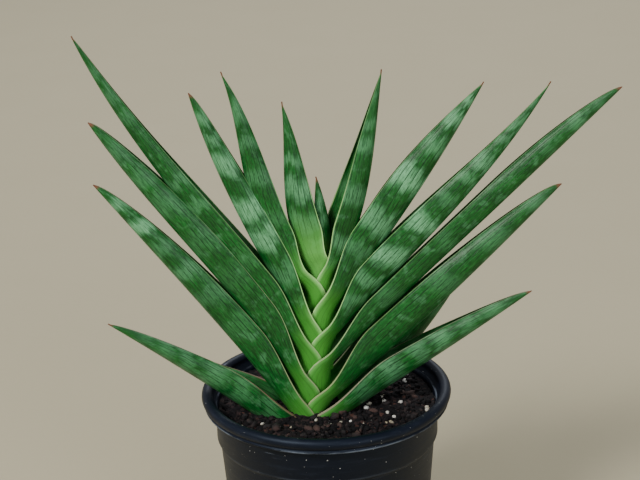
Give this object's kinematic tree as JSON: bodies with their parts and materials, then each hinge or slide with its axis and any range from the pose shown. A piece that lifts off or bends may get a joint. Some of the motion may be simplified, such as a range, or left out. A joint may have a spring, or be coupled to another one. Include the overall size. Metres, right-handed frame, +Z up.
{
  "type": "potted plant",
  "caption": "Small succulent with stiff channelled sword leaves in a flat two-ranked fan, in a round black nursery pot filled with potting mix.",
  "frame": {"origin": "centre of the pot's flat underside", "axes": "+Z up along the pot's axis, -Y towards the front of the fan, +X to the viewer's right"},
  "size_m": [0.3345, 0.165, 0.4053],
  "materials": {
    "pot": "satin",
    "soil": "matte",
    "stem": "satin",
    "leaf": "satin"
  },
  "bodies": {
    "root": {"pot": "pot", "soil": "soil", "stem": "stem", "leaf_00": "leaf", "leaf_01": "leaf", "leaf_02": "leaf", "leaf_03": "leaf", "leaf_04": "leaf", "leaf_05": "leaf", "leaf_06": "leaf", "leaf_07": "leaf", "leaf_08": "leaf", "leaf_09": "leaf", "leaf_10": "leaf", "leaf_11": "leaf", "leaf_12": "leaf", "leaf_13": "leaf", "leaf_14": "leaf"}
  },
  "joints": []
}
